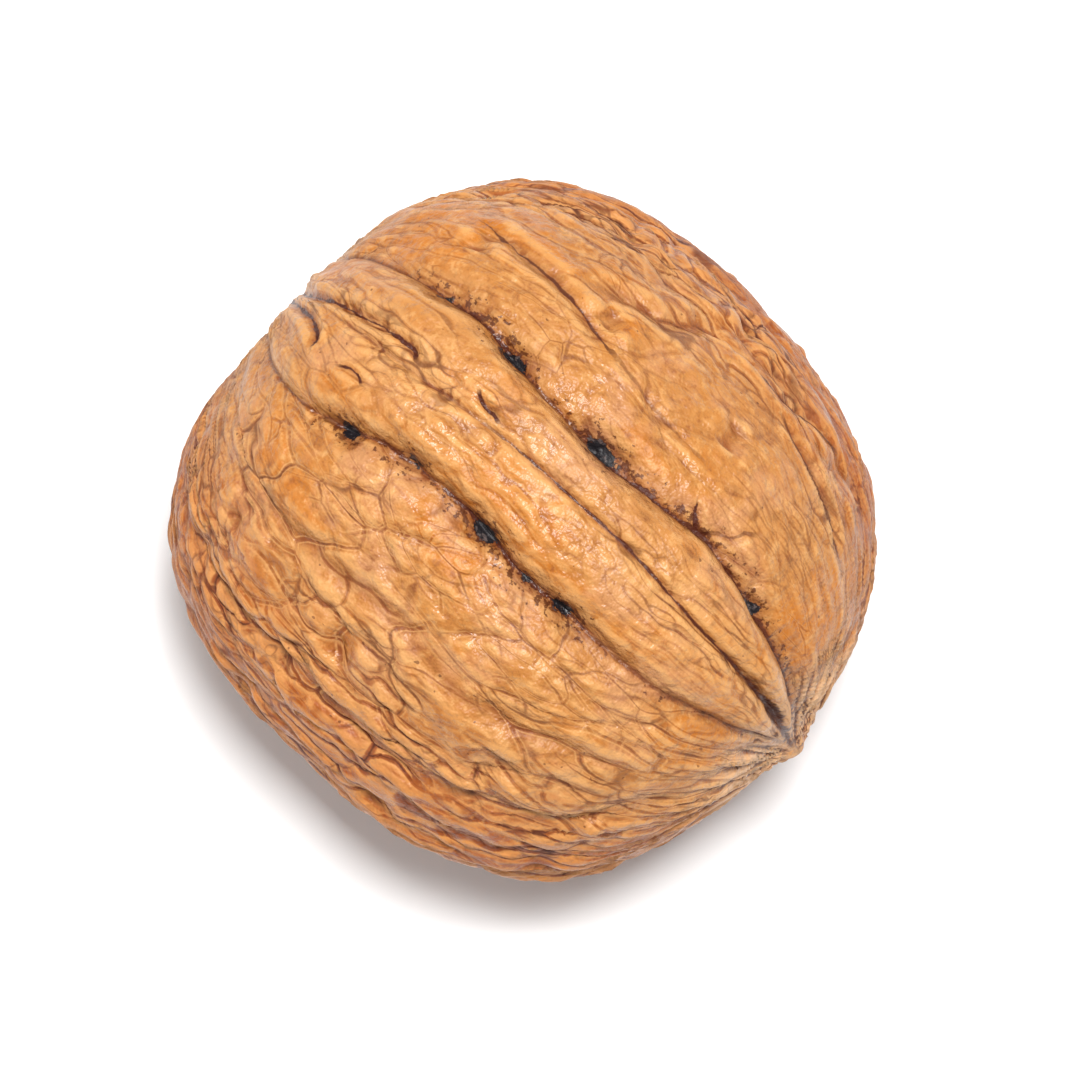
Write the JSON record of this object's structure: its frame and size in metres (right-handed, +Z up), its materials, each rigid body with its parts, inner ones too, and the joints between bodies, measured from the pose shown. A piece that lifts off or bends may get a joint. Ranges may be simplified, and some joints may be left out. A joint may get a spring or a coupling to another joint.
{
  "type": "walnut",
  "caption": "Whole closed walnut in its shell, lying on its lower seam: a fat egg with a raised welt over the seam, pitted furrows, a net of plates and a small beak.",
  "frame": {"origin": "on the surface that the nut lies on, below the middle of its bounding box", "axes": "+X along the nut from the stem end to the beak, +Z up through the upper seam, +Y to the right cheek; the seam lies close to the XZ plane"},
  "size_m": [0.0375, 0.036, 0.0352],
  "materials": {
    "shell": "satin tan nutshell, darker in the creases"
  },
  "bodies": {
    "root": {"walnut": "shell"}
  },
  "joints": []
}
